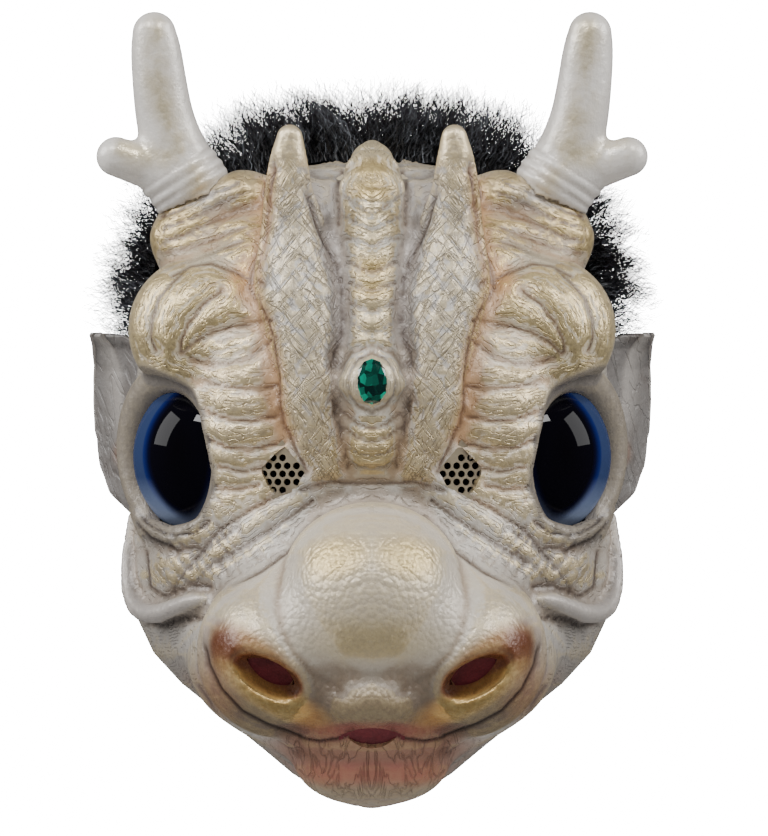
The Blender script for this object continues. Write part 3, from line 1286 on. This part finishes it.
def ears():
    """Cupped ears with a rolled front rim, a hollow behind it and a thin outer edge."""
    made = ear_material()
    rows, across = 60, 40
    t = np.linspace(0, 1, rows + 1) * (len(EAR) - 1)
    at = {name: np.interp(t, np.arange(len(EAR)), EAR[name])[:, None] for name in EAR.dtype.names}
    s = np.linspace(0, 1, across + 1)[None]
    inner = np.stack([at["inner_x"], at["inner_y"], at["inner_h"]], axis=-1)
    outer = np.stack([at["outer_x"], at["outer_y"], at["outer_h"]], axis=-1)
    height = inner[..., 2]
    roll_at = np.interp(height, (135, 165, 184, 194, 199), (0.30, 0.40, 0.50, 0.66, 0.86))
    roll = np.exp(-(((s - roll_at) / 0.11) ** 2)) * smooth(height, 140, 165)
    hollow = np.sin(math.pi * np.clip((s - roll_at) / (1 - roll_at), 0, 1)) * smooth(height, 125, 160)
    push = at["cup"] * np.sin(math.pi * s) + 4.5 * hollow - 3.2 * roll
    points = (inner + (outer - inner) * s[..., None] + EAR_OUTWARDS * push[..., None]).reshape(-1, 3)
    points = points + 0.5 * soft_noise(points, 6, 51)[:, None] * EAR_OUTWARDS
    rim = np.maximum(smooth(s, 0.93, 0.99), roll).ravel()
    a = (np.arange(rows)[:, None] * (across + 1) + np.arange(across)[None]).ravel()
    faces = np.stack([a, a + 1, a + across + 2, a + across + 1], axis=1)
    for sign, word in ((-1, "right"), (1, "left")):
        piece = add("ear_cup_" + word, points * (sign, 1, 1), faces, [made], ("ear_" + word,))
        attribute(piece, "rim", rim)
        attribute(piece, "lobe", oval_share(points[:, 0], points[:, 2], (104, 148), (5, 6), 0, 0.5))
        walled(piece, EAR_WALL)


FUR_SEED = 7
FUR_PIECES = 5
FUR_ROOM = ((-130, 130), (-40, 130), (-8, 292))
FUR_STEP = 6.0
FUR_FRONT = -34
BACKING_OUT = 2.7
TUFTS = 420
STRANDS = 6000
STRAND_STEPS = 11
STRAND_HALF = (0.22, 0.09)
DROOP = 0.28
LENGTHS = table("height length", (30, 13), (150, 14), (196, 18), (210, 28), (245, 33), (262, 39), (300, 43))


def backing_form(x, y, h):
    """Distance to the backing that the fur grows from."""
    return plain_head(np.abs(x), y, h) - BACKING_OUT


def along_skin(normal, way):
    """One way, laid along the backing at each root."""
    laid = np.tile(np.array(way), (len(normal), 1))
    laid -= normal * (laid * normal).sum(axis=1, keepdims=True)
    return laid / np.maximum(np.linalg.norm(laid, axis=1, keepdims=True), 0.3)


def leant(rng, root, normal, stray):
    """Which way strands lean, which way they droop, and how flat they lie, at each root."""
    flat = ((1 - smooth(root[:, 2], 192, 212)) * (1 - smooth(root[:, 1], 50, 85)))[:, None]
    lean = normal * (1 - 0.93 * flat) + along_skin(normal, (0, 1.0, -0.5)) * (0.95 * flat)
    lean = lean + stray * (1 - 0.7 * flat) * rng.normal(size=root.shape)
    return lean / np.linalg.norm(lean, axis=1, keepdims=True), along_skin(normal, (0, 0.35, -1.0)), flat


def fur():
    """Curly strands over a dark backing."""
    made, n, shader = material("fur strand", Roughness=0.42, Specular_IOR_Level=0.35)
    n.into(shader, Base_Color=n.mix(n.attribute("tone"), linear(28, 27, 28), linear(122, 126, 132)))
    points, quads = skinned(backing_form, FUR_ROOM, FUR_STEP)
    points = settle_on(backing_form, points)
    points, quads = kept(points, quads, (points[quads][:, :, 1] > FUR_FRONT).all(axis=1))
    points, quads = cut_to_edges(points, quads, at_back=True)
    dark = plain("fur backing", (14, 14, 16), 0.95, 500, 0.0004)
    add("fur_backing", points, quads, [dark], ("fur",))
    corners = points[quads]
    area = np.linalg.norm(np.cross(corners[:, 1] - corners[:, 0], corners[:, 3] - corners[:, 0]), axis=1)
    thick_above = 0.3 + 0.7 * smooth(corners[:, 0, 2], 170, 215)
    weight = area * thick_above * (1.8 - smooth(corners[:, 0, 1], -10, 60))
    rng = np.random.default_rng(FUR_SEED)

    def scattered(count):
        pick = rng.choice(len(quads), count, p=weight / weight.sum())
        u, v = rng.random((2, count, 1))
        c = corners[pick]
        root = (c[:, 0] * (1 - u) + c[:, 1] * u) * (1 - v) + (c[:, 3] * (1 - u) + c[:, 2] * u) * v
        return root, normals_of(backing_form, root, 2.0)

    tuft_root, tuft_normal = scattered(TUFTS)
    tuft_lean, tuft_down, _ = leant(rng, tuft_root, tuft_normal, 0.38)
    first = (np.arange(STRANDS) * (STRAND_STEPS + 1) * 2)[:, None] + (np.arange(STRAND_STEPS) * 2)[None]
    first = first.ravel()
    faces = np.stack([first, first + 1, first + 3, first + 2], axis=1)
    half = np.linspace(*STRAND_HALF, STRAND_STEPS + 1)[:, None, None]
    for part in range(FUR_PIECES):
        root, normal = scattered(STRANDS)
        lean, down, flat = leant(rng, root, normal, 0.25)
        near = np.argmin(((root[:, None] - tuft_root[None]) ** 2).sum(axis=2), axis=1)
        height = root[:, 2]
        length = np.interp(height, LENGTHS["height"], LENGTHS["length"]) * rng.uniform(0.6, 1.0, STRANDS)
        length = length[:, None]
        one = np.cross(lean, (0.3, 0.5, 0.81))
        one /= np.linalg.norm(one, axis=1, keepdims=True)
        two = np.cross(lean, one)
        curl = rng.uniform(1.2, 3.4, STRANDS)[:, None] * (1 - 0.5 * flat)
        phase = rng.uniform(0, 2 * math.pi, STRANDS)[:, None]
        turns = rng.uniform(1.5, 4.5, STRANDS)[:, None]
        gather = rng.uniform(0.25, 0.8, STRANDS)[:, None]
        spine = []
        for s in np.linspace(0, 1, STRAND_STEPS + 1):
            angle = phase + 2 * math.pi * turns * s
            out, droop = length * s, length * DROOP * s * s
            reach = root + lean * out + down * droop
            tuft = tuft_root[near] + tuft_lean[near] * out + tuft_down[near] * droop
            reach = reach + (tuft - reach) * gather * s ** 0.8
            spine.append(reach + (one * np.cos(angle) + two * np.sin(angle)) * curl * min(1, 3 * s))
        spine = np.array(spine)
        flank = np.cross(np.gradient(spine, axis=0), normal[None])
        flank /= np.maximum(np.linalg.norm(flank, axis=2, keepdims=True), 1e-6)
        sides = np.stack([spine - flank * half, spine + flank * half], axis=2)
        strands = sides.transpose(1, 0, 2, 3).reshape(-1, 3)
        piece = add("fur_strands_%d" % part, strands, faces, [made])
        paler = 0.42 * (1 - smooth(height, 200, 225)) * (1 - smooth(root[:, 1], 0, 45))
        tone = np.clip(rng.random(STRANDS) ** 4 + paler, 0, 1)
        attribute(piece, "tone", np.repeat(tone, (STRAND_STEPS + 1) * 2))


# Stage, lights and camera

AIM = Vector((0, -0.05, -0.11))
FLOOR_RADIUS = 2.6
FLOOR_DOWN = 0.95
LIGHTS = (
    ("left side", (-1.55, -0.12, 0.66), (0.72, 1.0), 26),
    ("right side", (1.55, -0.12, 0.66), (0.72, 1.0), 22),
    ("left top", (-0.8, -1.0, 1.35), (0.34, 0.3), 20),
    ("right top", (0.8, -1.0, 1.35), (0.34, 0.3), 17),
    ("front", (0, -2.6, 0.5), (1.4, 0.9), 14),
)


def surroundings():
    """White behind the mask, soft light all round and little of it in reflections."""
    world = bpy.data.worlds.new("studio")
    scene.world = world
    world.use_nodes = True
    n = Nodes(world.node_tree)
    room, sky = [
        n.into(n.new("Background"), Color=colour, Strength=strength).outputs[0]
        for colour, strength in (((1.0, 1.0, 1.0), 22.0), ((0.93, 0.96, 1.0), 0.05))
    ]
    soft = n.into(world.node_tree.nodes["Background"], Color=(0.93, 0.96, 1.0), Strength=0.22).outputs[0]
    ray = n.new("LightPath").outputs
    for share, other in ((ray["Is Glossy Ray"], sky), (ray["Is Camera Ray"], room)):
        mix = n.new("MixShader")
        for value, socket in zip((share, soft, other), mix.inputs):
            n.put(value, socket)
        soft = mix.outputs[0]
    n.into(world.node_tree.nodes["World Output"], Surface=soft)


def pale_floor():
    """A round pale floor under the mask."""
    disc = bmesh.new()
    bmesh.ops.create_circle(disc, cap_ends=True, segments=96, radius=FLOOR_RADIUS)
    mesh = bpy.data.meshes.new("floor")
    disc.to_mesh(mesh)
    disc.free()
    mesh.materials.append(material("pale floor", Roughness=0.8, Base_Color=(0.8, 0.8, 0.8))[0])
    floor = bpy.data.objects.new("floor", mesh)
    floor.location = (0, 0, -FLOOR_DOWN)
    floor.visible_glossy = False
    scene.collection.objects.link(floor)


def lights():
    """Two pairs at the sides and one in front, which doesn't show in the gloss."""
    for name, place, size, power in LIGHTS:
        light = bpy.data.lights.new(name, "AREA")
        light.energy = power
        light.shape = "RECTANGLE"
        light.size, light.size_y = size
        made = bpy.data.objects.new(name, light)
        made.location = place
        made.rotation_euler = (AIM - made.location).to_track_quat("-Z", "Y").to_euler()
        made.visible_glossy = name != "front"
        scene.collection.objects.link(made)


SENSOR = 36.0
FRAME_HIGH = 0.3511
CAMERA_PLACE = (0.00504, -6.08, (162.8 - CROWN) * MM)
CAMERA_AWAY = 6.0


def camera():
    """A long lens straight in front, which takes in the photograph's height at the face."""
    lens = bpy.data.cameras.new("camera")
    lens.sensor_fit = "VERTICAL"
    lens.sensor_height = SENSOR
    lens.lens = SENSOR * CAMERA_AWAY / FRAME_HIGH
    lens.clip_end = 100
    made = bpy.data.objects.new("camera", lens)
    made.location = CAMERA_PLACE
    made.rotation_euler = (math.radians(90), 0, 0)
    scene.collection.objects.link(made)
    scene.camera = made


for part in (
    camera, surroundings, pale_floor, lights, face, eyes, brow_gem, vents, cloths, hood, antlers, ears, fur,
):
    part()
